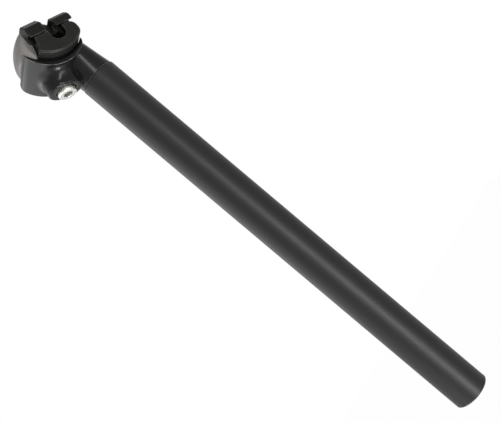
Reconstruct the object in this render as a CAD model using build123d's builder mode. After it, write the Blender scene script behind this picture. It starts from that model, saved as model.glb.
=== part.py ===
"""Bicycle seatpost with a bonded forged head and a single-bolt saddle rail clamp.

Frame, in millimetres: +Z runs up the post, +X points to the front of the bicycle,
+Y to its left. The origin is on the axis of the tube, at its least depth in the frame.
"""
import math
import os

from build123d import *

# Post tube
TUBE_OUTER_DIAMETER = 27.2
TUBE_WALL = 2.3
TUBE_LENGTH = 322.0
INSERTION_DEPTH = 100.0
TUBE_LOWER_CHAMFER = 0.8
TUBE_UPPER_CHAMFER = 0.5

# Head: neck and spigot
BOND_GAP = 0.05
SPIGOT_LENGTH = 36.0
SPIGOT_BORE_DIAMETER = 13.0
SPIGOT_BORE_DEPTH = 30.0
NECK_DIAMETER = 26.2
NECK_TOP_BELOW_AXIS = 16.0
NECK_TOP_WIDTH = 35.0
NECK_TOP_REAR = 0.0
NECK_TOP_FRONT = 25.6

# Head: cradle trough, measured about the tilt axis
TILT_AXIS_SETBACK = 9.5
TILT_AXIS_ABOVE_TUBE = 42.0
TROUGH_RADIUS = 24.0
TROUGH_HALF_ANGLE = 54.0
TROUGH_WIDTH = 38.0
TROUGH_WALL = 4.5
TROUGH_LIP = 4.0
TROUGH_LIP_RADIUS = 7.0
TROUGH_EDGE_RADIUS = 2.0

# Head: bolt boss under the trough, with a large rounded root
BOLT_TILT = 21.0
BOSS_WIDTH = 20.8
BOSS_REAR_REACH = 12.0
BOSS_FRONT_REACH = 12.0
BOSS_CORNER_RADIUS = 10.2
BOSS_END_BELOW_AXIS = 37.6
BOSS_EDGE_RADIUS = 1.6
BOSS_ROOT_RADIUS = 7.6
BOSS_TOP_COVER = 0.2

# Clamp bolt, washer and barrel nut
BOLT_DIAMETER = 8.0
BOLT_SHANK_LENGTH = 40.0
BOLT_HEAD_DIAMETER = 13.0
BOLT_HEAD_HEIGHT = 8.0
BOLT_HEAD_EDGE = 0.7
HEX_ACROSS_FLATS = 6.0
HEX_DEPTH = 4.5
BOLT_HOLE_DIAMETER = 8.8
SEAT_BELOW_AXIS = 30.6
COUNTERBORE_DIAMETER = 14.6
WASHER_DIAMETER = 13.9
WASHER_THICKNESS = 1.6
BOLT_HEAD_GAP = 0.1
NUT_DIAMETER = 12.0
NUT_LENGTH = 24.0
NUT_EDGE = 0.6
THREAD_GAP = 0.08

# Saddle rails and clamp, measured about the tilt axis along and across the rails
CLAMP_TILT = 11.0
RAIL_DIAMETER = 7.0
RAIL_SPACING = 44.0
RAIL_BELOW_AXIS = 7.4
CLAMP_WIDTH = 52.4
JAW_GAP = 0.4
CRADLE_GAP = 0.3
CLAMP_FRONT_INSET = 6.8
CLAMP_CORNER_RADIUS = 5.0
CLAMP_EDGE_CHAMFER = 0.8
ARM_REAR = 12.0
ARM_REAR_LOW = 15.6
ARM_REAR_BOW = 0.9
WINDOW_CENTRE = 2.9
WINDOW_WIDTH = 10.6
WINDOW_DEPTH = 9.0
WINDOW_INNER_HALF_WIDTH = 11.0
CRADLE_SLOT_LENGTH = 19.4
CRADLE_SLOT_WIDTH = 9.4

# Upper clamp: hood between the rails, key under it and four ears over the rails
HOOD_CENTRE_BEHIND = 5.0
HOOD_CENTRE_BELOW = 8.2
HOOD_RADIUS = 17.2
HOOD_SIDE_RADIUS = 14.6
HOOD_HALF_WIDTH = 17.0
HOOD_CORNER_RADIUS = 6.0
BRIDGE_BACK = 6.0
BRIDGE_FRONT = 16.2
BRIDGE_TOP = 0.0
BRIDGE_HALF_WIDTH = 15.5
KEY_HALF_LENGTH = 9.0
KEY_HALF_WIDTH = 8.5
KEY_DEPTH = 3.8
KEY_GAP = 0.5
NUT_POCKET_GAP = 0.3
NUT_POCKET_SIDE_GAP = 1.1
JAW_SLOT_LENGTH = 14.4
REAR_EAR_BACK = 13.9
REAR_EAR_FRONT = -1.8
FRONT_EAR_BACK = 4.8
FRONT_EAR_FRONT = 17.4
EAR_ROOT_HALF_WIDTH = 14.0
REAR_EAR_FACE = 6.8
REAR_EAR_TOP = 4.6
FRONT_EAR_FACE = 4.6
FRONT_EAR_TOP = 1.6
EAR_TOP_HALF_WIDTH = 21.4
EAR_TOP_RADIUS = 3.2
REAR_EAR_EDGE_RADIUS = 1.2
FRONT_EAR_EDGE_RADIUS = 3.2
EAR_END_CHAMFER = 0.8
SKIRT_GAP = 0.5

# Cutting tools reach past every piece
CUT_REACH = 120.0

# Places that follow from the sizes
tube_top = TUBE_LENGTH - INSERTION_DEPTH
tube_radius = TUBE_OUTER_DIAMETER / 2
tube_bore_radius = tube_radius - TUBE_WALL
axis_point = Vector(-TILT_AXIS_SETBACK, 0, tube_top + TILT_AXIS_ABOVE_TUBE)
half_rail_spacing = RAIL_SPACING / 2
rail_radius = RAIL_DIAMETER / 2
half_clamp_width = CLAMP_WIDTH / 2
cradle_radius = TROUGH_RADIUS - CRADLE_GAP
clamp_front = cradle_radius - CLAMP_FRONT_INSET
cradle_top = -RAIL_BELOW_AXIS - JAW_GAP / 2
jaw_bottom = -RAIL_BELOW_AXIS + JAW_GAP / 2
nut_pocket_half_length = NUT_DIAMETER / 2 + NUT_POCKET_SIDE_GAP
bolt_bearing = SEAT_BELOW_AXIS + WASHER_THICKNESS + BOLT_HEAD_GAP


def side_plane(tilt):
    """Plane of the tilt axis: local x runs forward, local y up, both turned by the tilt."""
    turn = math.radians(tilt)
    return Plane(axis_point, x_dir=(math.cos(turn), 0, -math.sin(turn)), z_dir=(0, -1, 0))


def side_point(tilt, along, height):
    """Point of the side plane, from its two local lengths."""
    side = side_plane(tilt)
    return axis_point + side.x_dir * along + side.y_dir * height


def cross_plane(tilt, along, height):
    """Plane across the side plane: local x runs along +Y, its normal runs up."""
    return Plane(side_point(tilt, along, height), x_dir=(0, 1, 0), z_dir=side_plane(tilt).y_dir)


def rail_plane(along):
    """Plane across the rails: local x runs along +Y, local y away from the tube."""
    side = side_plane(CLAMP_TILT)
    return Plane(axis_point + side.x_dir * along, x_dir=(0, 1, 0), z_dir=side.x_dir)


def on_circle(radius, height):
    """How far from the middle a circle about the tilt axis is, at a height."""
    return math.sqrt(radius**2 - height**2)


bolt_side = side_plane(BOLT_TILT)
clamp_side = side_plane(CLAMP_TILT)

# Post tube
with BuildPart() as post_tube:
    with BuildSketch(Plane.XY.offset(-INSERTION_DEPTH)):
        Circle(tube_radius)
        Circle(tube_bore_radius, mode=Mode.SUBTRACT)
    extrude(amount=TUBE_LENGTH)
    chamfer(post_tube.edges().group_by(Axis.Z)[0], TUBE_LOWER_CHAMFER)
    outer_top = post_tube.edges().group_by(Axis.Z)[-1].sort_by(SortBy.RADIUS)[-1]
    chamfer(outer_top, TUBE_UPPER_CHAMFER)

# Neck flared from the tube to the trough
with BuildPart() as neck:
    with BuildSketch(Plane((0, 0, tube_top), x_dir=(0, 1, 0), z_dir=(0, 0, 1))):
        Circle(NECK_DIAMETER / 2)
    with BuildSketch(cross_plane(BOLT_TILT, 0, -NECK_TOP_BELOW_AXIS)):
        with Locations((0, -(NECK_TOP_FRONT + NECK_TOP_REAR) / 2)):
            Ellipse(NECK_TOP_WIDTH / 2, (NECK_TOP_FRONT - NECK_TOP_REAR) / 2)
    loft()

# Boss round the bolt, under the trough
with BuildPart() as boss:
    with BuildSketch(cross_plane(BOLT_TILT, 0, -BOSS_END_BELOW_AXIS)):
        with Locations((0, -(BOSS_FRONT_REACH - BOSS_REAR_REACH) / 2)):
            RectangleRounded(BOSS_WIDTH, BOSS_FRONT_REACH + BOSS_REAR_REACH, BOSS_CORNER_RADIUS)
    extrude(amount=BOSS_END_BELOW_AXIS - TROUGH_RADIUS - BOSS_TOP_COVER)
    fillet(boss.faces().sort_by(Axis(axis_point, bolt_side.y_dir))[0].edges(), BOSS_EDGE_RADIUS)

# Trough with a thick lip at both ends
lip_forward = TROUGH_RADIUS * math.sin(math.radians(TROUGH_HALF_ANGLE))
lip_height = -TROUGH_RADIUS * math.cos(math.radians(TROUGH_HALF_ANGLE))
with BuildPart() as trough:
    with BuildSketch(bolt_side) as trough_section:
        with BuildLine():
            inner = ThreePointArc(
                (-lip_forward, lip_height), (0, -TROUGH_RADIUS), (lip_forward, lip_height)
            )
            outer = ThreePointArc(
                (-lip_forward, lip_height - TROUGH_LIP),
                (0, -TROUGH_RADIUS - TROUGH_WALL),
                (lip_forward, lip_height - TROUGH_LIP),
            )
            Line(inner @ 0, outer @ 0)
            Line(inner @ 1, outer @ 1)
        make_face()
        fillet(trough_section.vertices().group_by(Axis.Y)[0], TROUGH_LIP_RADIUS)
    extrude(amount=TROUGH_WIDTH / 2, both=True)
    fillet(trough.edges().filter_by(GeomType.CIRCLE).sort_by(SortBy.RADIUS)[-2:], TROUGH_EDGE_RADIUS)

# Forged head: boss blended into the trough, neck added
with BuildPart() as head:
    add(trough)
    add(boss)
    fillet(new_edges(trough.part, boss.part, combined=head.part), BOSS_ROOT_RADIUS)
    add(neck)

    # Trough surface cut through everything, then the bolt seat
    with BuildSketch(bolt_side):
        Circle(TROUGH_RADIUS)
    extrude(amount=CUT_REACH, both=True, mode=Mode.SUBTRACT)
    with BuildSketch(Plane.XY.offset(tube_top)):
        Rectangle(CUT_REACH, CUT_REACH)
    extrude(amount=-CUT_REACH, mode=Mode.SUBTRACT)
    with BuildSketch(cross_plane(BOLT_TILT, 0, -BOSS_END_BELOW_AXIS)):
        Circle(COUNTERBORE_DIAMETER / 2)
    extrude(amount=BOSS_END_BELOW_AXIS - SEAT_BELOW_AXIS, mode=Mode.SUBTRACT)
    with BuildSketch(cross_plane(BOLT_TILT, 0, -BOSS_END_BELOW_AXIS)):
        Circle(BOLT_HOLE_DIAMETER / 2)
    extrude(amount=BOSS_END_BELOW_AXIS, mode=Mode.SUBTRACT)

    # Spigot bonded into the tube
    with BuildSketch(Plane.XY.offset(tube_top - SPIGOT_LENGTH)):
        Circle(tube_bore_radius - BOND_GAP)
    extrude(amount=SPIGOT_LENGTH)
    with BuildSketch(Plane.XY.offset(tube_top - SPIGOT_LENGTH)):
        Circle(SPIGOT_BORE_DIAMETER / 2)
    extrude(amount=SPIGOT_BORE_DEPTH, mode=Mode.SUBTRACT)

# Lower cradle: a rocker in the trough, wide enough to lie under both rails
front_low = -on_circle(cradle_radius, clamp_front)
arm_low = -on_circle(cradle_radius, ARM_REAR_LOW)
with BuildPart() as lower_cradle:
    with BuildSketch(clamp_side) as arm_profile:
        with BuildLine():
            ThreePointArc((-ARM_REAR_LOW, arm_low), (0, -cradle_radius), (clamp_front, front_low))
            Polyline((clamp_front, front_low), (clamp_front, cradle_top), (-ARM_REAR, cradle_top))
            SagittaArc((-ARM_REAR, cradle_top), (-ARM_REAR_LOW, arm_low), ARM_REAR_BOW)
        make_face()
        fillet(arm_profile.vertices().sort_by(Axis.X)[-2:], CLAMP_CORNER_RADIUS)
    extrude(amount=half_clamp_width, both=True)
    end_faces = lower_cradle.faces().sort_by(Axis.Y)
    chamfer(end_faces[0].edges() + end_faces[-1].edges(), CLAMP_EDGE_CHAMFER)
    for side in (-1, 1):
        with BuildSketch(clamp_side.offset(-side * half_clamp_width)):
            with Locations((WINDOW_CENTRE, cradle_top)):
                SlotCenterToCenter(2 * WINDOW_DEPTH - WINDOW_WIDTH, WINDOW_WIDTH, rotation=90)
        extrude(
            amount=side * (half_clamp_width - WINDOW_INNER_HALF_WIDTH), mode=Mode.SUBTRACT
        )
    with BuildSketch(rail_plane(0)):
        with Locations((-half_rail_spacing, -RAIL_BELOW_AXIS), (half_rail_spacing, -RAIL_BELOW_AXIS)):
            Circle(rail_radius)
    extrude(amount=CUT_REACH, both=True, mode=Mode.SUBTRACT)
    with BuildSketch(cross_plane(CLAMP_TILT, 0, 0)):
        SlotOverall(CRADLE_SLOT_LENGTH, CRADLE_SLOT_WIDTH, rotation=90)
    extrude(amount=-TROUGH_RADIUS, mode=Mode.SUBTRACT)
    with BuildSketch(cross_plane(CLAMP_TILT, 0, cradle_top)):
        Rectangle(2 * (KEY_HALF_WIDTH + KEY_GAP), 2 * (KEY_HALF_LENGTH + KEY_GAP))
    extrude(amount=-(KEY_DEPTH + KEY_GAP), mode=Mode.SUBTRACT)

# Hood of the upper clamp: a barrel about a cross axis, with a skirt behind the cradle
skirt_front = -ARM_REAR - SKIRT_GAP
skirt_front_low = -ARM_REAR_LOW - SKIRT_GAP
hood_centre = side_point(CLAMP_TILT, -HOOD_CENTRE_BEHIND, -HOOD_CENTRE_BELOW)
with BuildPart() as hood:
    with BuildSketch(Plane(hood_centre, x_dir=(0, 1, 0), z_dir=clamp_side.x_dir)) as hood_section:
        with BuildLine():
            ThreePointArc(
                (-HOOD_HALF_WIDTH, HOOD_SIDE_RADIUS), (0, HOOD_RADIUS), (HOOD_HALF_WIDTH, HOOD_SIDE_RADIUS)
            )
            Polyline(
                (HOOD_HALF_WIDTH, HOOD_SIDE_RADIUS),
                (HOOD_HALF_WIDTH, 0),
                (-HOOD_HALF_WIDTH, 0),
                (-HOOD_HALF_WIDTH, HOOD_SIDE_RADIUS),
            )
        make_face()
        fillet(hood_section.vertices().group_by(Axis.Y)[-1], HOOD_CORNER_RADIUS)
    revolve(axis=Axis(hood_centre, (0, 1, 0)))
    with BuildSketch(clamp_side):
        with BuildLine():
            SagittaArc((skirt_front, jaw_bottom), (skirt_front_low, arm_low), ARM_REAR_BOW)
            Polyline(
                (skirt_front_low, arm_low),
                (-CUT_REACH, arm_low),
                (-CUT_REACH, CUT_REACH),
                (CUT_REACH, CUT_REACH),
                (CUT_REACH, jaw_bottom),
                (skirt_front, jaw_bottom),
            )
        make_face()
    extrude(amount=CUT_REACH, both=True, mode=Mode.INTERSECT)
    with BuildSketch(clamp_side):
        Circle(cradle_radius)
    extrude(amount=CUT_REACH, both=True, mode=Mode.INTERSECT)

# Upper clamp: ears over the rails, hood, bridge between the front ears and key
with BuildPart() as upper_clamp:
    for back, front, face, top, edge_radius in (
        (-REAR_EAR_BACK, REAR_EAR_FRONT, REAR_EAR_FACE, REAR_EAR_TOP, REAR_EAR_EDGE_RADIUS),
        (FRONT_EAR_BACK, FRONT_EAR_FRONT, FRONT_EAR_FACE, FRONT_EAR_TOP, FRONT_EAR_EDGE_RADIUS),
    ):
        with BuildSketch(rail_plane(back)) as ear:
            with BuildLine():
                Polyline(
                    (EAR_ROOT_HALF_WIDTH, jaw_bottom),
                    (half_clamp_width, jaw_bottom),
                    (half_clamp_width, jaw_bottom + face),
                    (EAR_TOP_HALF_WIDTH, top),
                    (EAR_ROOT_HALF_WIDTH, top),
                    close=True,
                )
            make_face()
            fillet(ear.vertices().group_by(Axis.Y)[1], edge_radius)
            fillet(ear.vertices().group_by(Axis.Y)[-1].sort_by(Axis.X)[-1], EAR_TOP_RADIUS)
            mirror(about=Plane.YZ)
        extrude(amount=front - back)
    ear_ends = upper_clamp.faces().filter_by(Axis(axis_point, clamp_side.x_dir))
    chamfer(ear_ends.edges(), EAR_END_CHAMFER)
    add(hood)
    with BuildSketch(clamp_side):
        with Locations((BRIDGE_BACK, jaw_bottom)):
            Rectangle(BRIDGE_FRONT - BRIDGE_BACK, BRIDGE_TOP - jaw_bottom, align=(Align.MIN, Align.MIN))
    extrude(amount=BRIDGE_HALF_WIDTH, both=True)
    with BuildSketch(cross_plane(CLAMP_TILT, 0, jaw_bottom)):
        Rectangle(2 * KEY_HALF_WIDTH, 2 * KEY_HALF_LENGTH)
    extrude(amount=-KEY_DEPTH - JAW_GAP)
    with BuildSketch(rail_plane(0)):
        with Locations((-half_rail_spacing, -RAIL_BELOW_AXIS), (half_rail_spacing, -RAIL_BELOW_AXIS)):
            Circle(rail_radius)
    extrude(amount=CUT_REACH, both=True, mode=Mode.SUBTRACT)
    with BuildSketch(clamp_side):
        Rectangle(
            2 * nut_pocket_half_length,
            CUT_REACH,
            align=(Align.CENTER, Align.MIN),
        )
        pocket_shift = NUT_POCKET_SIDE_GAP - NUT_POCKET_GAP
        with Locations((-pocket_shift, 0), (pocket_shift, 0)):
            Circle(NUT_DIAMETER / 2 + NUT_POCKET_GAP)
    extrude(amount=NUT_LENGTH / 2 + NUT_POCKET_GAP, both=True, mode=Mode.SUBTRACT)
    with BuildSketch(cross_plane(CLAMP_TILT, 0, 0)):
        SlotOverall(JAW_SLOT_LENGTH, CRADLE_SLOT_WIDTH, rotation=90)
    extrude(amount=-TROUGH_RADIUS, mode=Mode.SUBTRACT)

# Clamp bolt with a hexagon socket, seated from below
with BuildPart() as clamp_bolt:
    with BuildSketch(cross_plane(BOLT_TILT, 0, -bolt_bearing)):
        Circle(BOLT_HEAD_DIAMETER / 2)
    extrude(amount=-BOLT_HEAD_HEIGHT)
    socket_end = cross_plane(BOLT_TILT, 0, -bolt_bearing - BOLT_HEAD_HEIGHT)
    chamfer(clamp_bolt.edges().sort_by(Axis.Z)[0], BOLT_HEAD_EDGE)
    with BuildSketch(socket_end):
        RegularPolygon(HEX_ACROSS_FLATS / 2, 6, major_radius=False)
    extrude(amount=HEX_DEPTH, mode=Mode.SUBTRACT)
    with BuildSketch(cross_plane(BOLT_TILT, 0, -bolt_bearing)):
        Circle(BOLT_DIAMETER / 2)
    extrude(amount=BOLT_SHANK_LENGTH)
    chamfer(clamp_bolt.edges().sort_by(Axis.Z)[-1], BOLT_HEAD_EDGE)

with BuildPart() as bolt_washer:
    with BuildSketch(cross_plane(BOLT_TILT, 0, -SEAT_BELOW_AXIS)):
        Circle(WASHER_DIAMETER / 2)
        Circle(BOLT_HOLE_DIAMETER / 2, mode=Mode.SUBTRACT)
    extrude(amount=-WASHER_THICKNESS)

# Barrel nut, lying across the post on the tilt axis
with BuildPart() as barrel_nut:
    with BuildSketch(bolt_side):
        Circle(NUT_DIAMETER / 2)
    extrude(amount=NUT_LENGTH / 2, both=True)
    chamfer(barrel_nut.edges().filter_by(GeomType.CIRCLE), NUT_EDGE)
    with BuildSketch(cross_plane(BOLT_TILT, 0, 0)):
        Circle(BOLT_DIAMETER / 2 + THREAD_GAP)
    extrude(amount=NUT_DIAMETER, both=True, mode=Mode.SUBTRACT)

os.makedirs("parts", exist_ok=True)
for piece, name in (
    (post_tube, "post_tube"),
    (head, "head"),
    (lower_cradle, "lower_cradle"),
    (upper_clamp, "upper_clamp"),
    (clamp_bolt, "clamp_bolt"),
    (bolt_washer, "bolt_washer"),
    (barrel_nut, "barrel_nut"),
):
    piece.part.label = name
    export_step(piece.part, f"parts/{name}.step")
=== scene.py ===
"""Finishes, small details, stage and camera for a bicycle seatpost with a single-bolt rail clamp.

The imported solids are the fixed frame. Lengths are in metres, in the frame's own axes:
+Z up the post, +X to the front of the bicycle, +Y to its left.
"""
import math
from collections import namedtuple

import bmesh
import bpy
from mathutils import Matrix, Vector


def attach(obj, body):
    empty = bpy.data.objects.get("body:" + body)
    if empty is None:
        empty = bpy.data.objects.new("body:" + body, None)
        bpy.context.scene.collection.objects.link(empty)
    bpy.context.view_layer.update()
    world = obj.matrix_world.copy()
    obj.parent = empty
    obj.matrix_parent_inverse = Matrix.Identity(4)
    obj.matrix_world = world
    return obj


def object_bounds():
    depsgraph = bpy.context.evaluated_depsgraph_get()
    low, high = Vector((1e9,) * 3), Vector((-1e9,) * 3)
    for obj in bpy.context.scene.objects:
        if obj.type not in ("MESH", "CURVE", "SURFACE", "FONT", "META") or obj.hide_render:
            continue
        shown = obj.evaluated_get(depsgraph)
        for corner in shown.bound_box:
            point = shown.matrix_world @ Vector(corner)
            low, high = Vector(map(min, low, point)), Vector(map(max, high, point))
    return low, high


bl_info = {
    "name": "Seatpost Finisher",
    "version": (1, 0, 0),
    "blender": (4, 5, 0),
    "location": "View3D > Sidebar > Seatpost",
    "description": "Dresses the solids of a bicycle seatpost and sets up its studio",
    "category": "Object",
}

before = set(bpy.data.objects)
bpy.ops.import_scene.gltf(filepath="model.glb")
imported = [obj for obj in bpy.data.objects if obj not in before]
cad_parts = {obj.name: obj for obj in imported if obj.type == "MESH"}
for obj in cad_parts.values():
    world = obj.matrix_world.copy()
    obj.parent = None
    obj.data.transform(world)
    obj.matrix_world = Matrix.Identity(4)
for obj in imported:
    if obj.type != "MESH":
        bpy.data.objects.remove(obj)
CAD_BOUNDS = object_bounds()

# Bolt, where the solids have it
TILT_AXIS = Vector((-0.0095, 0.0, 0.264))
BOLT_TILT = math.radians(21.0)
BOLT_HEAD_TOP = 0.0323
BOLT_HEAD_HEIGHT = 0.008

# Edges: how far they look rounded, and where a lighter tone is painted along them as painted
# highlights, standing for glints on rounded edges
EDGE_SOFTNESS = 0.0006
EDGE_SAMPLES = 6
HIGHLIGHT_REACH = 0.0007
HIGHLIGHT_STARTS = 0.985
HIGHLIGHT_FULL = 0.86
HIGHLIGHT_PATCH_SCALE = 260.0
HIGHLIGHT_PATCH_DETAIL = 2.0
HIGHLIGHT_LEAST = 0.15
HIGHLIGHT_MOST = 1.0
CORNER_REACH = 0.003
CORNER_SHUT = 0.80
CORNER_OPEN = 0.97

# Painted light: pale grey painted on the back of the hood, standing for its side lit from behind
HOOD_HALF_WIDTH = 0.0166
HOOD_BLEND = 0.0012
HOOD_FRONT = -0.0190
HOOD_FRONT_BLEND = 0.0040

# Surfaces: fine grain, broad cloud, lift of the tone, play of the roughness, specular level and bump
Surface = namedtuple(
    "Surface",
    "grain_stretch grain_scale grain_detail cloud_stretch cloud_scale cloud_detail tone_lift "
    "rough_by_grain rough_down rough_up specular bump_strength bump_depth",
)
EVEN = (1.0, 1.0, 1.0)
NO_TURN = (0.0, 0.0, 0.0)
NOISE_LOW = 0.3
NOISE_HIGH = 0.7
TUBE_SURFACE = Surface(
    grain_stretch=(1.0, 1.0, 0.02), grain_scale=2600.0, grain_detail=3.0,
    cloud_stretch=(1.0, 1.0, 0.35), cloud_scale=45.0, cloud_detail=2.0, tone_lift=1.35,
    rough_by_grain=True, rough_down=0.04, rough_up=0.05, specular=0.26,
    bump_strength=0.06, bump_depth=0.00004,
)
HEAD_SURFACE = Surface(
    grain_stretch=EVEN, grain_scale=420.0, grain_detail=1.0,
    cloud_stretch=EVEN, cloud_scale=70.0, cloud_detail=2.0, tone_lift=1.4,
    rough_by_grain=False, rough_down=0.03, rough_up=0.04, specular=0.15,
    bump_strength=0.05, bump_depth=0.0001,
)
CRADLE_SURFACE = Surface(
    grain_stretch=EVEN, grain_scale=3200.0, grain_detail=3.0,
    cloud_stretch=EVEN, cloud_scale=110.0, cloud_detail=3.0, tone_lift=1.5,
    rough_by_grain=False, rough_down=0.05, rough_up=0.07, specular=0.13,
    bump_strength=0.10, bump_depth=0.00005,
)
HOOD_SURFACE = CRADLE_SURFACE._replace(specular=0.09)
ZINC_SURFACE = Surface(
    grain_stretch=(1.0, 1.0, 6.0), grain_scale=900.0, grain_detail=2.0,
    cloud_stretch=EVEN, cloud_scale=420.0, cloud_detail=3.0, tone_lift=1.12,
    rough_by_grain=True, rough_down=0.06, rough_up=0.08, specular=0.5,
    bump_strength=0.08, bump_depth=0.00004,
)
WASHER_GRAIN_SCALE = 1400.0
NUT_GRAIN_SCALE = 700.0

# Lamps: where they stand, what they point at, their size and the property that holds their power
Lamp = namedtuple("Lamp", "name place aim width height power")
LAMPS = (
    Lamp("rear_box", (-0.46, 0.66, 0.25), (-0.01, 0.0, 0.25), 0.8, 0.9, "rear_power"),
    Lamp("left_box", (-0.68, 0.22, 0.25), (-0.01, 0.0, 0.25), 0.36, 0.9, "left_power"),
    Lamp("low_lamp", (-0.404, 0.215, -0.819), (-0.02, 0.0, 0.24), 0.25, 0.25, "low_power"),
    Lamp("front_strip", (-0.24, -0.95, -0.15), (0.0, 0.0, 0.65), 0.15, 1.6, "front_power"),
)

# Floor
FLOOR_HALF_SIZE = 3.0
FLOOR_ROUGHNESS = 0.9
FLOOR_SPECULAR = 0.1
FLOOR_WHITE_SHARE = 0.985
WHITE = (1.0, 1.0, 1.0, 1.0)

# Camera of the photograph: focal length in pixels of its width, viewing side, aim and roll
PHOTO_WIDTH = 500.0
PHOTO_FOCAL = 720.0
SENSOR_WIDTH = 36.0
CLIP_START = 0.01
VIEW_SIDE = math.radians(30.0)
VIEW_DISTANCE = 0.475
AIM_HEIGHT = 0.0887
AIM_LEFT = 0.003
POST_ACROSS = (0.6442, 0.7649)
POST_UP = (-0.7649, 0.6442)


class SeatpostFinish(bpy.types.PropertyGroup):
    """Colours and roughness of the post's pieces."""

    tube_color: bpy.props.FloatVectorProperty(
        name="Tube colour", description="Satin anodised black of the tube",
        subtype="COLOR", size=3, min=0.0, max=1.0, default=(0.0043, 0.0039, 0.0037),
    )
    tube_roughness: bpy.props.FloatProperty(
        name="Tube roughness", description="How matt the anodised tube is",
        subtype="FACTOR", min=0.0, max=1.0, default=0.46,
    )
    head_color: bpy.props.FloatVectorProperty(
        name="Head colour", description="Gloss black of the forged head",
        subtype="COLOR", size=3, min=0.0, max=1.0, default=(0.0040, 0.0040, 0.0044),
    )
    # Head edge colour: a lighter tone painted along the head's edges as painted highlights, standing
    # for glints on its rounded edges
    head_edge_highlight_color: bpy.props.FloatVectorProperty(
        name="Head edge colour", description="Tone of the rubbed edges of the head",
        subtype="COLOR", size=3, min=0.0, max=1.0, default=(0.21, 0.205, 0.20),
    )
    head_roughness: bpy.props.FloatProperty(
        name="Head roughness", description="How matt the gloss black is",
        subtype="FACTOR", min=0.0, max=1.0, default=0.26,
    )
    clamp_color: bpy.props.FloatVectorProperty(
        name="Clamp colour", description="Semi-gloss black of the two clamp pieces",
        subtype="COLOR", size=3, min=0.0, max=1.0, default=(0.0072, 0.0071, 0.0066),
    )
    # Clamp edge colour: a lighter tone painted along the clamp pieces' edges as painted highlights,
    # standing for glints on their rounded edges
    clamp_edge_highlight_color: bpy.props.FloatVectorProperty(
        name="Clamp edge colour", description="Tone of the rubbed edges of the clamp pieces",
        subtype="COLOR", size=3, min=0.0, max=1.0, default=(0.10, 0.097, 0.094),
    )
    # Hood colour: pale grey painted on the back of the hood as painted light, standing for its side
    # lit from behind
    hood_painted_light_color: bpy.props.FloatVectorProperty(
        name="Hood colour", description="Satin grey of the hood between the ears",
        subtype="COLOR", size=3, min=0.0, max=1.0, default=(0.187, 0.178, 0.172),
    )
    clamp_roughness: bpy.props.FloatProperty(
        name="Clamp roughness", description="How matt the clamp pieces are",
        subtype="FACTOR", min=0.0, max=1.0, default=0.36,
    )
    zinc_color: bpy.props.FloatVectorProperty(
        name="Zinc colour", description="Pale zinc plating of the bolt, washer and nut",
        subtype="COLOR", size=3, min=0.0, max=1.0, default=(0.51, 0.51, 0.485),
    )
    zinc_roughness: bpy.props.FloatProperty(
        name="Zinc roughness", description="How matt the zinc plating is",
        subtype="FACTOR", min=0.0, max=1.0, default=0.34,
    )


class SeatpostKnurl(bpy.types.PropertyGroup):
    """Fine grip round the bolt head."""

    ridges: bpy.props.IntProperty(
        name="Ridges", description="Number of ridges round the bolt head", min=12, default=54,
    )
    radius: bpy.props.FloatProperty(
        name="Radius", description="Outside of the ridges",
        unit="LENGTH", min=0.001, default=0.00656,
    )
    depth: bpy.props.FloatProperty(
        name="Depth", description="Depth of the grooves between ridges",
        unit="LENGTH", min=0.0, default=0.00014,
    )
    length: bpy.props.FloatProperty(
        name="Length", description="Length of the ridges along the bolt",
        unit="LENGTH", min=0.0005, default=0.0058,
    )


class SeatpostStage(bpy.types.PropertyGroup):
    """Floor and lamps round the post."""

    floor_drop: bpy.props.FloatProperty(
        name="Floor drop", description="How far the floor lies below the end of the tube",
        unit="LENGTH", min=0.0, default=0.85,
    )
    floor_color: bpy.props.FloatVectorProperty(
        name="Floor colour", description="Pale floor",
        subtype="COLOR", size=3, min=0.0, max=1.0, default=(0.9, 0.9, 0.9),
    )
    ambient: bpy.props.FloatProperty(
        name="Ambient", description="Strength of the light from all round", min=0.0, default=0.25,
    )
    rear_power: bpy.props.FloatProperty(
        name="Rear lamp", description="Power of the soft box on the far side of the clamp",
        min=0.0, default=3.6,
    )
    left_power: bpy.props.FloatProperty(
        name="Left lamp", description="Power of the soft box behind the clamp",
        min=0.0, default=1.7,
    )
    low_power: bpy.props.FloatProperty(
        name="Low lamp", description="Power of the small lamp below the head",
        min=0.0, default=14.0,
    )
    front_power: bpy.props.FloatProperty(
        name="Front lamp", description="Power of the tall strip on the camera's side",
        min=0.0, default=18.5,
    )


def start_material(name):
    """New node material with its principled shader."""
    material = bpy.data.materials.new(name)
    material.use_nodes = True
    shader = material.node_tree.nodes["Principled BSDF"]
    return material, material.node_tree, shader


def add_node(tree, kind, **inputs):
    """Node of a kind, with constant values on its named inputs."""
    node = tree.nodes.new(kind)
    for label, value in inputs.items():
        node.inputs[label.replace("_", " ")].default_value = value
    return node


def feed(tree, socket, value):
    """Link a socket to another one, or set it to a constant."""
    if isinstance(value, bpy.types.NodeSocket):
        tree.links.new(value, socket)
    else:
        socket.default_value = value


def maths(tree, operation, *values):
    """Result of a math node on sockets or numbers."""
    node = tree.nodes.new("ShaderNodeMath")
    node.operation = operation
    for socket, value in zip(node.inputs, values):
        feed(tree, socket, value)
    return node.outputs["Value"]


def map_range(tree, value, start, end, low, high):
    """Value moved from one range to another and held inside it."""
    node = add_node(tree, "ShaderNodeMapRange", From_Min=start, From_Max=end, To_Min=low, To_Max=high)
    tree.links.new(value, node.inputs["Value"])
    return node.outputs["Result"]


def blend(tree, value, first, second):
    """Colour between two others, each a socket or a constant, as a value says."""
    mix = tree.nodes.new("ShaderNodeMix")
    mix.data_type = "RGBA"
    slots = [socket for socket in mix.inputs if socket.type == "RGBA"]
    feed(tree, slots[0], first)
    feed(tree, slots[1], second)
    tree.links.new(value, mix.inputs["Factor"])
    return [socket for socket in mix.outputs if socket.type == "RGBA"][0]


def opaque(color):
    """Colour with full alpha."""
    return (*color, 1.0)


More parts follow.
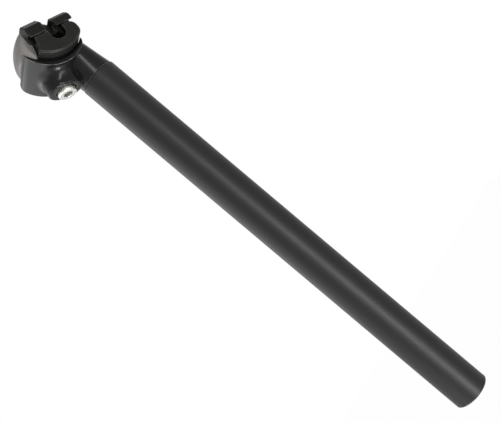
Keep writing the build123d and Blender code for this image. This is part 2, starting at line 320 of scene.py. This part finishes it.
def object_noise(tree, stretch, scale, detail, turn=NO_TURN):
    """Noise on Object coordinates, stretched and turned."""
    coords = tree.nodes.new("ShaderNodeTexCoord")
    mapping = add_node(tree, "ShaderNodeMapping", Scale=stretch, Rotation=turn)
    noise = add_node(tree, "ShaderNodeTexNoise", Scale=scale, Detail=detail)
    tree.links.new(coords.outputs["Object"], mapping.inputs["Vector"])
    tree.links.new(mapping.outputs["Vector"], noise.inputs["Vector"])
    return noise.outputs["Fac"]


def surface_noise(tree, surface, turn=NO_TURN):
    """Fine grain and broad cloud of a surface."""
    grain = object_noise(
        tree, surface.grain_stretch, surface.grain_scale, surface.grain_detail, turn,
    )
    cloud = object_noise(tree, surface.cloud_stretch, surface.cloud_scale, surface.cloud_detail)
    return grain, cloud


def spread(tree, value, low, high):
    """Noise value spread over a range."""
    return map_range(tree, value, NOISE_LOW, NOISE_HIGH, low, high)


def two_tone(tree, value, color, lift):
    """Colour that wanders between a tone and a slightly lighter one."""
    lighter = [min(1.0, part * lift) for part in color]
    return blend(tree, value, opaque(color), opaque(lighter))


def soft_normal(tree, reach):
    """Normal that looks rounded off along the edges."""
    node = add_node(tree, "ShaderNodeBevel", Radius=reach)
    node.samples = EDGE_SAMPLES
    return node.outputs["Normal"]


def bump(tree, shader, height, strength, depth):
    """Bump from a height onto the shader, over edges that look slightly rounded."""
    node = add_node(tree, "ShaderNodeBump", Strength=strength, Distance=depth)
    tree.links.new(height, node.inputs["Height"])
    tree.links.new(soft_normal(tree, EDGE_SOFTNESS), node.inputs["Normal"])
    tree.links.new(node.outputs["Normal"], shader.inputs["Normal"])


def edge_share(tree):
    """One along the edges of a piece and nought on its faces."""
    face = tree.nodes.new("ShaderNodeNewGeometry")
    match = tree.nodes.new("ShaderNodeVectorMath")
    match.operation = "DOT_PRODUCT"
    tree.links.new(soft_normal(tree, HIGHLIGHT_REACH), match.inputs[0])
    tree.links.new(face.outputs["Normal"], match.inputs[1])
    return map_range(tree, match.outputs["Value"], HIGHLIGHT_STARTS, HIGHLIGHT_FULL, 0.0, 1.0)


def outward_share(tree):
    """Nought in the inner corners of a piece and one elsewhere."""
    corner = add_node(tree, "ShaderNodeAmbientOcclusion", Distance=CORNER_REACH)
    corner.samples = EDGE_SAMPLES
    corner.only_local = True
    return map_range(tree, corner.outputs["AO"], CORNER_SHUT, CORNER_OPEN, 0.0, 1.0)


def painted_edge_highlights(tree, color, highlight_color):
    """Colour of a piece with painted highlights: lighter in patches along its outward edges, standing
    for glints on rounded edges.
    """
    noise = object_noise(tree, EVEN, HIGHLIGHT_PATCH_SCALE, HIGHLIGHT_PATCH_DETAIL)
    patch = spread(tree, noise, HIGHLIGHT_LEAST, HIGHLIGHT_MOST)
    # painted highlight: a lighter tone along the outward edges, kept out of the inner corners
    glint = maths(tree, "MULTIPLY", edge_share(tree), patch)
    glint = maths(tree, "MULTIPLY", glint, outward_share(tree))
    return blend(tree, glint, color, opaque(highlight_color))


def coat(tree, shader, surface, noise, color, roughness):
    """Give the shader a colour, and the wandering roughness and bump of a surface."""
    grain, cloud = noise
    guide = grain if surface.rough_by_grain else cloud
    low = roughness - surface.rough_down
    high = roughness + surface.rough_up
    tree.links.new(color, shader.inputs["Base Color"])
    tree.links.new(spread(tree, guide, low, high), shader.inputs["Roughness"])
    shader.inputs["Specular IOR Level"].default_value = surface.specular
    bump(tree, shader, grain, surface.bump_strength, surface.bump_depth)


def anodised_tube(finish):
    """Satin black anodising with faint lines from drawing the tube."""
    material, tree, shader = start_material("tube_satin_anodised")
    noise = surface_noise(tree, TUBE_SURFACE)
    color = two_tone(tree, noise[1], finish.tube_color, TUBE_SURFACE.tone_lift)
    coat(tree, shader, TUBE_SURFACE, noise, color, finish.tube_roughness)
    return material


def gloss_head(finish):
    """Gloss black over a forging, with a faint orange peel and painted highlights along its edges."""
    material, tree, shader = start_material("head_gloss_black")
    noise = surface_noise(tree, HEAD_SURFACE)
    color = two_tone(tree, noise[1], finish.head_color, HEAD_SURFACE.tone_lift)
    # painted highlights along the head's edges
    color = painted_edge_highlights(tree, color, finish.head_edge_highlight_color)
    coat(tree, shader, HEAD_SURFACE, noise, color, finish.head_roughness)
    return material


def cast_clamp(finish):
    """Semi-gloss black with a fine blasted grain and painted highlights along its edges."""
    material, tree, shader = start_material("clamp_semi_gloss")
    noise = surface_noise(tree, CRADLE_SURFACE)
    color = two_tone(tree, noise[1], finish.clamp_color, CRADLE_SURFACE.tone_lift)
    # painted highlights along the cradle's edges
    color = painted_edge_highlights(tree, color, finish.clamp_edge_highlight_color)
    coat(tree, shader, CRADLE_SURFACE, noise, color, finish.clamp_roughness)
    return material


def painted_light_hood_share(tree):
    """One on the back of the hood, where the painted light goes, nought on the ears and in front of
    the rear ears.
    """
    coords = tree.nodes.new("ShaderNodeTexCoord")
    split = tree.nodes.new("ShaderNodeSeparateXYZ")
    tree.links.new(coords.outputs["Object"], split.inputs["Vector"])
    side = maths(tree, "ABSOLUTE", split.outputs["Y"])
    between = map_range(tree, side, HOOD_HALF_WIDTH, HOOD_HALF_WIDTH + HOOD_BLEND, 1.0, 0.0)
    front = HOOD_FRONT + HOOD_FRONT_BLEND
    behind = map_range(tree, split.outputs["X"], HOOD_FRONT, front, 1.0, 0.0)
    return maths(tree, "MULTIPLY", between, behind)


def clamp_with_painted_hood_light(finish):
    """Black ears with pale grey painted on the back of the hood as painted light for its lit side, a
    fine blasted grain and painted highlights along the edges.
    """
    material, tree, shader = start_material("clamp_hood_satin")
    noise = surface_noise(tree, HOOD_SURFACE)
    # painted light: the back of the hood is painted pale grey for its lit side
    color = blend(tree, painted_light_hood_share(tree), opaque(finish.clamp_color), opaque(finish.hood_painted_light_color))
    # painted highlights along the upper clamp's edges
    color = painted_edge_highlights(tree, color, finish.clamp_edge_highlight_color)
    coat(tree, shader, HOOD_SURFACE, noise, color, finish.clamp_roughness)
    return material


def zinc_plate(finish, name, surface):
    """Pale zinc with turning marks across the bolt's own axis."""
    material, tree, shader = start_material(name)
    noise = surface_noise(tree, surface, (0.0, -BOLT_TILT, 0.0))
    color = two_tone(tree, noise[1], finish.zinc_color, surface.tone_lift)
    shader.inputs["Metallic"].default_value = 1.0
    coat(tree, shader, surface, noise, color, finish.zinc_roughness)
    return material


def dress(node, material):
    """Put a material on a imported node, in place of the one it came with."""
    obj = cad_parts[node]
    obj.data.materials.clear()
    obj.data.materials.append(material)


def bolt_frame():
    """Matrix of the bolt: origin on the tilt axis, local Z up the bolt."""
    turn = Matrix.Rotation(BOLT_TILT, 4, "Y")
    return Matrix.Translation(TILT_AXIS) @ turn


def finished_object(name, work, body, material):
    """Object at the origin from a bmesh, riding on a body."""
    mesh = bpy.data.meshes.new(name)
    work.to_mesh(mesh)
    work.free()
    obj = bpy.data.objects.new(name, mesh)
    bpy.context.scene.collection.objects.link(obj)
    mesh.materials.append(material)
    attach(obj, body)
    return obj


class SEATPOST_OT_tube(bpy.types.Operator):
    """Finish the post tube"""

    bl_idname = "seatpost.tube"
    bl_label = "Tube"

    def execute(self, context):
        dress("post_tube", anodised_tube(context.scene.seatpost_finish))
        return {"FINISHED"}


class SEATPOST_OT_head(bpy.types.Operator):
    """Finish the forged head"""

    bl_idname = "seatpost.head"
    bl_label = "Head"

    def execute(self, context):
        dress("head", gloss_head(context.scene.seatpost_finish))
        return {"FINISHED"}


class SEATPOST_OT_clamp(bpy.types.Operator):
    """Finish the two clamp pieces"""

    bl_idname = "seatpost.clamp"
    bl_label = "Rail clamp"

    def execute(self, context):
        finish = context.scene.seatpost_finish
        dress("lower_cradle", cast_clamp(finish))
        dress("upper_clamp", clamp_with_painted_hood_light(finish))
        return {"FINISHED"}


class SEATPOST_OT_fasteners(bpy.types.Operator):
    """Finish the bolt, washer and barrel nut"""

    bl_idname = "seatpost.fasteners"
    bl_label = "Fasteners"

    def execute(self, context):
        finish = context.scene.seatpost_finish
        washer = ZINC_SURFACE._replace(grain_scale=WASHER_GRAIN_SCALE)
        nut = ZINC_SURFACE._replace(grain_scale=NUT_GRAIN_SCALE)
        dress("clamp_bolt", zinc_plate(finish, "bolt_zinc", ZINC_SURFACE))
        dress("bolt_washer", zinc_plate(finish, "washer_zinc", washer))
        dress("barrel_nut", zinc_plate(finish, "nut_zinc", nut))
        return {"FINISHED"}


class SEATPOST_OT_knurl(bpy.types.Operator):
    """Add the fine ridges round the bolt head"""

    bl_idname = "seatpost.knurl"
    bl_label = "Bolt knurl"

    def execute(self, context):
        knurl = context.scene.seatpost_knurl
        work = bmesh.new()
        bmesh.ops.create_cone(
            work, cap_ends=False, segments=2 * knurl.ridges, radius1=knurl.radius,
            radius2=knurl.radius, depth=knurl.length,
        )
        groove = (knurl.radius - knurl.depth) / knurl.radius
        step = math.pi / knurl.ridges
        for vert in work.verts:
            number = round(math.atan2(vert.co.y, vert.co.x) / step)
            if number % 2:
                vert.co.x *= groove
                vert.co.y *= groove
        middle = -BOLT_HEAD_TOP - BOLT_HEAD_HEIGHT / 2
        place = bolt_frame() @ Matrix.Translation((0.0, 0.0, middle))
        bmesh.ops.transform(work, matrix=place, verts=work.verts)
        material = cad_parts["clamp_bolt"].data.materials[0]
        obj = finished_object("bolt_knurl", work, "bolt", material)
        wall = obj.modifiers.new("wall", "SOLIDIFY")
        wall.thickness = 2 * knurl.depth
        wall.offset = -1.0
        return {"FINISHED"}


def area_lamp(lamp, power):
    """Soft box that points at a place."""
    light = bpy.data.lights.new(lamp.name, "AREA")
    light.shape = "RECTANGLE"
    light.size = lamp.width
    light.size_y = lamp.height
    light.energy = power
    obj = bpy.data.objects.new(lamp.name, light)
    obj.location = lamp.place
    direction = Vector(lamp.aim) - Vector(lamp.place)
    obj.rotation_euler = direction.to_track_quat("-Z", "Y").to_euler()
    bpy.context.scene.collection.objects.link(obj)


def seen_directly(tree):
    """One for camera, glossy and transmission rays, else nought."""
    rays = tree.nodes.new("ShaderNodeLightPath").outputs
    seen = maths(tree, "MAXIMUM", rays["Is Camera Ray"], rays["Is Glossy Ray"])
    return maths(tree, "MAXIMUM", seen, rays["Is Transmission Ray"])


def white_world(ambient):
    """World that is white to look at and a softer light on the object."""
    world = bpy.data.worlds.new("studio")
    world.use_nodes = True
    tree = world.node_tree
    light = tree.nodes["Background"]
    light.inputs["Color"].default_value = WHITE
    light.inputs["Strength"].default_value = ambient
    white = add_node(tree, "ShaderNodeBackground", Color=WHITE, Strength=1.0)
    mix = tree.nodes.new("ShaderNodeMixShader")
    tree.links.new(seen_directly(tree), mix.inputs["Fac"])
    tree.links.new(light.outputs["Background"], mix.inputs[1])
    tree.links.new(white.outputs["Background"], mix.inputs[2])
    tree.links.new(mix.outputs["Shader"], tree.nodes["World Output"].inputs["Surface"])
    bpy.context.scene.world = world


def pale_floor(stage):
    """Floor that looks white and still takes a faint shadow."""
    material, tree, shader = start_material("floor_pale")
    shader.inputs["Base Color"].default_value = opaque(stage.floor_color)
    shader.inputs["Roughness"].default_value = FLOOR_ROUGHNESS
    shader.inputs["Specular IOR Level"].default_value = FLOOR_SPECULAR
    white = add_node(tree, "ShaderNodeEmission", Color=WHITE, Strength=1.0)
    share = maths(tree, "MULTIPLY", seen_directly(tree), FLOOR_WHITE_SHARE)
    mix = tree.nodes.new("ShaderNodeMixShader")
    tree.links.new(share, mix.inputs["Fac"])
    tree.links.new(shader.outputs["BSDF"], mix.inputs[1])
    tree.links.new(white.outputs["Emission"], mix.inputs[2])
    tree.links.new(mix.outputs["Shader"], tree.nodes["Material Output"].inputs["Surface"])
    return material


def lay_floor(stage):
    """Square floor below the end of the tube."""
    low = CAD_BOUNDS[0][2] - stage.floor_drop
    work = bmesh.new()
    bmesh.ops.create_grid(work, x_segments=1, y_segments=1, size=FLOOR_HALF_SIZE)
    bmesh.ops.translate(work, vec=(0.0, 0.0, low), verts=work.verts)
    mesh = bpy.data.meshes.new("floor")
    work.to_mesh(mesh)
    work.free()
    floor = bpy.data.objects.new("floor", mesh)
    bpy.context.scene.collection.objects.link(floor)
    mesh.materials.append(pale_floor(stage))


def photo_camera():
    """Camera of the photograph: level with the post, from its right and rear, rolled."""
    right = Vector((math.cos(VIEW_SIDE), -math.sin(VIEW_SIDE), 0.0))
    back = Vector((-math.sin(VIEW_SIDE), -math.cos(VIEW_SIDE), 0.0))
    up = Vector((0.0, 0.0, 1.0))
    across = POST_ACROSS[0] * right + POST_UP[0] * up
    upward = POST_ACROSS[1] * right + POST_UP[1] * up
    aim = AIM_HEIGHT * up - AIM_LEFT * right
    place = aim + VIEW_DISTANCE * back
    camera = bpy.data.cameras.new("photo_camera")
    camera.sensor_fit = "HORIZONTAL"
    camera.sensor_width = SENSOR_WIDTH
    camera.lens = PHOTO_FOCAL / PHOTO_WIDTH * SENSOR_WIDTH
    camera.clip_start = CLIP_START
    obj = bpy.data.objects.new("photo_camera", camera)
    bpy.context.scene.collection.objects.link(obj)
    turn = Matrix((across, upward, back)).transposed().to_4x4()
    obj.matrix_world = Matrix.Translation(place) @ turn
    bpy.context.scene.camera = obj


class SEATPOST_OT_stage(bpy.types.Operator):
    """Set up the floor, the lamps, the world and the camera"""

    bl_idname = "seatpost.stage"
    bl_label = "Stage"

    def execute(self, context):
        stage = context.scene.seatpost_stage
        lay_floor(stage)
        white_world(stage.ambient)
        for lamp in LAMPS:
            area_lamp(lamp, getattr(stage, lamp.power))
        photo_camera()
        context.scene.view_settings.view_transform = "Standard"
        return {"FINISHED"}


class SEATPOST_PT_panel(bpy.types.Panel):
    """Pieces and finishes of the seatpost"""

    bl_label = "Seatpost"
    bl_idname = "SEATPOST_PT_panel"
    bl_space_type = "VIEW_3D"
    bl_region_type = "UI"
    bl_category = "Seatpost"

    def draw(self, context):
        layout = self.layout
        scene = context.scene
        for group in (scene.seatpost_finish, scene.seatpost_knurl, scene.seatpost_stage):
            box = layout.box()
            for prop in group.bl_rna.properties:
                if prop.identifier not in {"rna_type", "name"}:
                    box.prop(group, prop.identifier)
        for operator in OPERATORS:
            layout.operator(operator.bl_idname)


OPERATORS = (
    SEATPOST_OT_tube,
    SEATPOST_OT_head,
    SEATPOST_OT_clamp,
    SEATPOST_OT_fasteners,
    SEATPOST_OT_knurl,
    SEATPOST_OT_stage,
)
GROUPS = (
    ("seatpost_finish", SeatpostFinish),
    ("seatpost_knurl", SeatpostKnurl),
    ("seatpost_stage", SeatpostStage),
)


def register():
    """Register the groups, the operators and the panel."""
    for name, group in GROUPS:
        bpy.utils.register_class(group)
        setattr(bpy.types.Scene, name, bpy.props.PointerProperty(type=group))
    for operator in OPERATORS:
        bpy.utils.register_class(operator)
    bpy.utils.register_class(SEATPOST_PT_panel)


def unregister():
    """Take everything out again."""
    bpy.utils.unregister_class(SEATPOST_PT_panel)
    for operator in reversed(OPERATORS):
        bpy.utils.unregister_class(operator)
    for name, group in reversed(GROUPS):
        delattr(bpy.types.Scene, name)
        bpy.utils.unregister_class(group)


def main():
    """Dress the post and set the stage."""
    register()
    bpy.ops.seatpost.tube()
    bpy.ops.seatpost.head()
    bpy.ops.seatpost.clamp()
    bpy.ops.seatpost.fasteners()
    bpy.ops.seatpost.knurl()
    bpy.ops.seatpost.stage()


if __name__ == "__main__":
    main()
